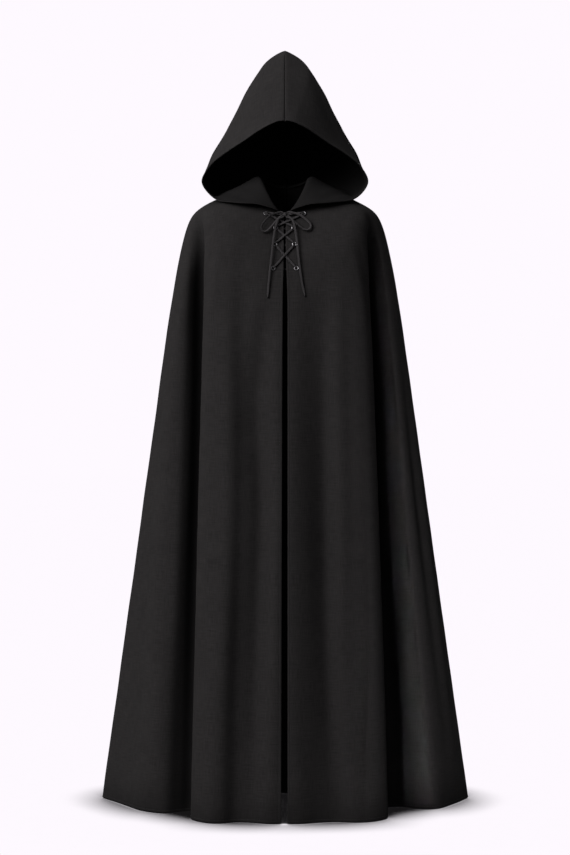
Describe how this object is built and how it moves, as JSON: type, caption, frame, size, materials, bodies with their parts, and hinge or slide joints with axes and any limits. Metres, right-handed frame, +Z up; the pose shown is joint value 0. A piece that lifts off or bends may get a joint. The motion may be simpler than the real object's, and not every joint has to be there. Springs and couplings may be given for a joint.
{
  "type": "hooded wool cloak",
  "caption": "Floor-length hooded cloak of thick black wool, hollow and open as it hangs on a wearer, its front edges laced at the neck through metal eyelets and tied in a bow.",
  "frame": {"origin": "middle of the wearer's neck, 1.52 m above the hem, where the cloak is held up", "axes": "+X to the wearer's left, -Y to the front, +Z up"},
  "size_m": [0.9552, 0.4707, 1.9373],
  "materials": {
    "wool": "fulled and lightly brushed, matt",
    "eyelet_metal": "blackened, satin",
    "lace": "flat braid, matt"
  },
  "bodies": {
    "root": {"front_right": "wool", "front_left": "wool", "back_right": "wool", "back_left": "wool", "hood_right": "wool", "hood_left": "wool", "eyelet_right_1": "eyelet_metal", "eyelet_right_2": "eyelet_metal", "eyelet_right_3": "eyelet_metal", "eyelet_right_4": "eyelet_metal", "eyelet_left_1": "eyelet_metal", "eyelet_left_2": "eyelet_metal", "eyelet_left_3": "eyelet_metal", "eyelet_left_4": "eyelet_metal", "lace_right": "lace", "lace_left": "lace", "lace_knot": "lace", "bow_loop_right": "lace", "bow_loop_left": "lace", "lace_end_right": "lace", "lace_end_left": "lace"}
  },
  "joints": []
}
